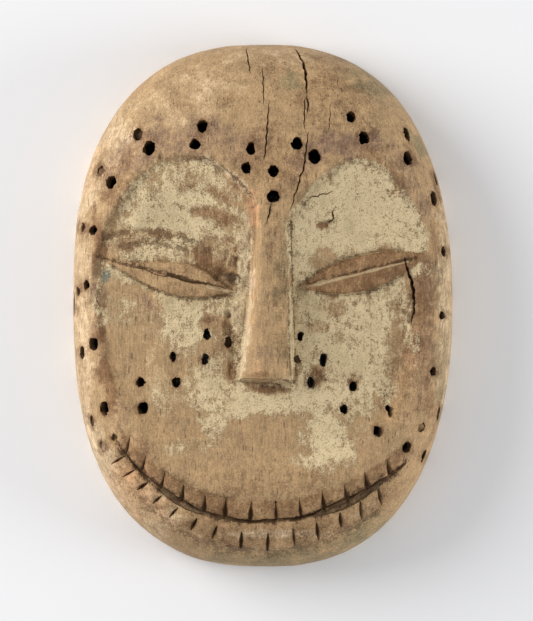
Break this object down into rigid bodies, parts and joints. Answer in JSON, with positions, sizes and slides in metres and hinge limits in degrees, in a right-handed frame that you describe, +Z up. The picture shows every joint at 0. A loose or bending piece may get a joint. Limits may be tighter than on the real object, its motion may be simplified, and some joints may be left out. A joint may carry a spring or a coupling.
{
  "type": "miniature face mask",
  "caption": "Small carved wooden face mask with a hollow back, slit eyes, a beam nose, notched lips and drilled cord holes; lies on its flat back rim.",
  "frame": {"origin": "middle of the flat back rim, on the surface that the mask lies on", "axes": "+X to the viewer's right, +Y towards the forehead, +Z up out of the face"},
  "size_m": [0.1087, 0.1496, 0.0361],
  "materials": {
    "wood": "dry unvarnished pale wood with worn white clay on the hollowed face"
  },
  "bodies": {
    "root": {"mask": "wood"}
  },
  "joints": []
}
